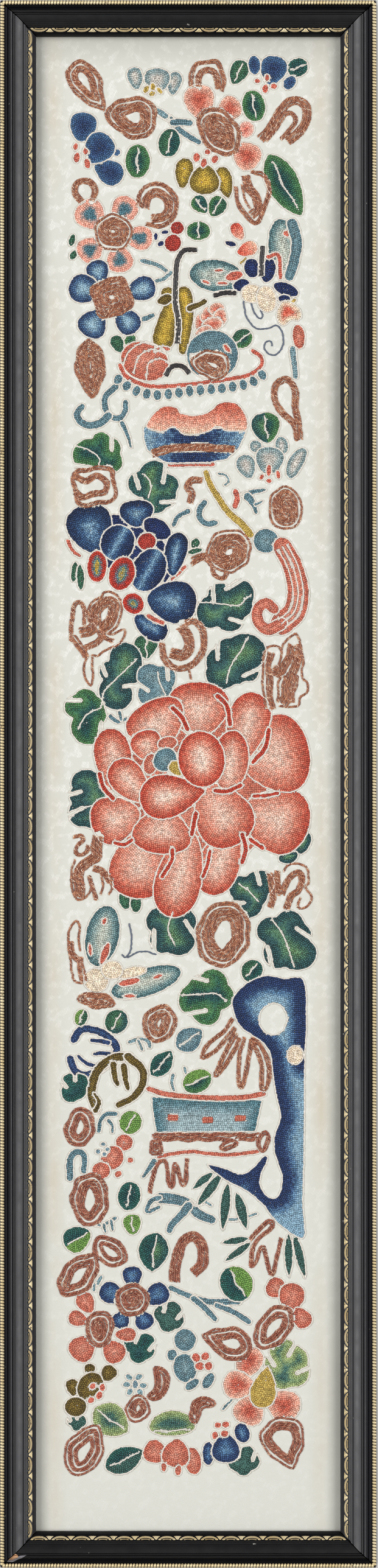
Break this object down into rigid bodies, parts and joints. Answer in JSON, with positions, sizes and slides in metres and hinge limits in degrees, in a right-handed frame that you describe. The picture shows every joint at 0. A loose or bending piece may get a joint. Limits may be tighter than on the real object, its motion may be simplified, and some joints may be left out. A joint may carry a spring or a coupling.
{
  "type": "embroidered sleeve band in a picture frame",
  "caption": "Long narrow silk sleeve band worked in knot stitch and couched cord, flat behind a slim black moulded frame with gilt edges.",
  "frame": {"origin": "middle of the frame's back, on the surface it lies on", "axes": "+Z out of the embroidered face, +Y up the length of the band, +X across it to the right"},
  "size_m": [0.14, 0.583, 0.0139],
  "materials": {
    "black_lacquer": "black lacquer over wood, satin",
    "silk_ground": "ivory silk damask",
    "knot_silk": "floss silk knots in shaded colours",
    "couched_cord": "twisted couched threads, white, copper and brown",
    "gilt": "rubbed gilt on moulded ornament"
  },
  "bodies": {
    "root": {"rail_top": "black_lacquer", "rail_bottom": "black_lacquer", "rail_left": "black_lacquer", "rail_right": "black_lacquer", "embroidered_silk": "silk_ground"}
  },
  "joints": []
}
